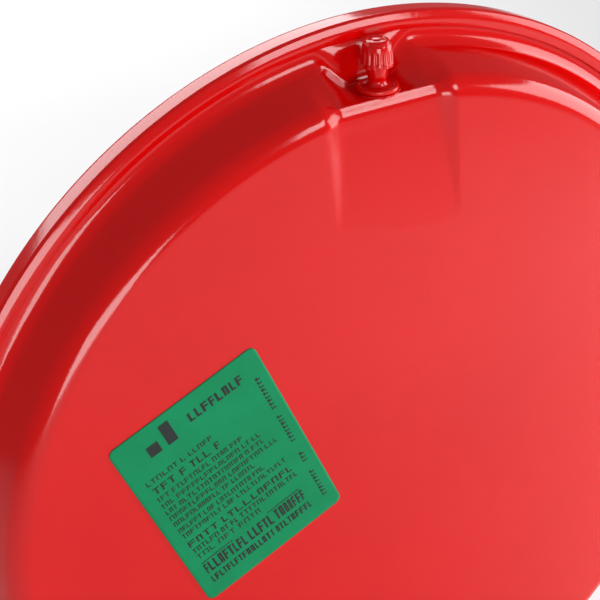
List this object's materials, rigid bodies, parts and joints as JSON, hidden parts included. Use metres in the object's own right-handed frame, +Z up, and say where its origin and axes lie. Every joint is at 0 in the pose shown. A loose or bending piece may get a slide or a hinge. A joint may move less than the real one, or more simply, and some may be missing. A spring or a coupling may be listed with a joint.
{
  "type": "expansion vessel",
  "caption": "Flat round expansion vessel for a boiler: two pressed shells in a clamp ring, rubber diaphragm, gas valve with cap, water nipple.",
  "frame": {"origin": "centre of the end of the water nipple, on the vessel's axis", "axes": "+Y along the vessel's axis out of the nipple, -Y out of the gas side's plate, +Z up through the gas valve"},
  "size_m": [0.324, 0.116, 0.324],
  "materials": {
    "paint": "gloss red powder coat",
    "zinc": "bright zinc plated",
    "brass": "turned",
    "spring": "drawn wire",
    "rubber": "matt",
    "seal_plastic": "matt",
    "label": "satin printed film"
  },
  "bodies": {
    "root": {"gas_shell": "paint", "water_shell": "paint", "clamp_ring": "paint", "diaphragm_bead": "rubber", "water_nipple": "zinc", "nipple_weld": "paint", "valve_stem": "paint", "valve_weld": "zinc", "core_plug": "brass", "core_collar_gasket": "seal_plastic", "core_barrel": "brass", "core_spring": "spring", "label": "label"},
    "diaphragm": {"diaphragm_web": "rubber", "diaphragm_boss": "rubber"},
    "valve_pin": {"core_pin": "brass", "core_seat_rubber": "rubber", "core_seat_cup": "brass", "core_pin_foot": "brass"},
    "cap_disc": {"cap_seal": "rubber"},
    "cap": {"valve_cap": "paint"}
  },
  "joints": [
    {"name": "cap_lift", "type": "slide", "parent": "root", "child": "cap_disc", "axis": [0, 0, 1], "range_m": [0, 0.0076]},
    {"name": "cap_turn", "type": "hinge", "parent": "cap_disc", "child": "cap", "pos_m": [0, -0.1034, 0.1408], "axis": [0, 0, 1], "range_deg": [0, 3450]},
    {"name": "pin_press", "type": "slide", "parent": "root", "child": "valve_pin", "axis": [0, 0, -1], "range_m": [0, 0.0012], "stiffness_N_per_m": 1500, "springref_m": -0.002, "deforming": ["core_spring"]},
    {"name": "diaphragm_stroke", "type": "slide", "parent": "root", "child": "diaphragm", "axis": [0, -1, 0], "range_m": [0, 0.06], "stiffness_N_per_m": 100, "springref_m": -0.06, "deforming": ["diaphragm_web"]}
  ],
  "couplings": [
    {"joint": "cap_turn", "follows": "cap_lift", "rad_per_m": 7916}
  ]
}
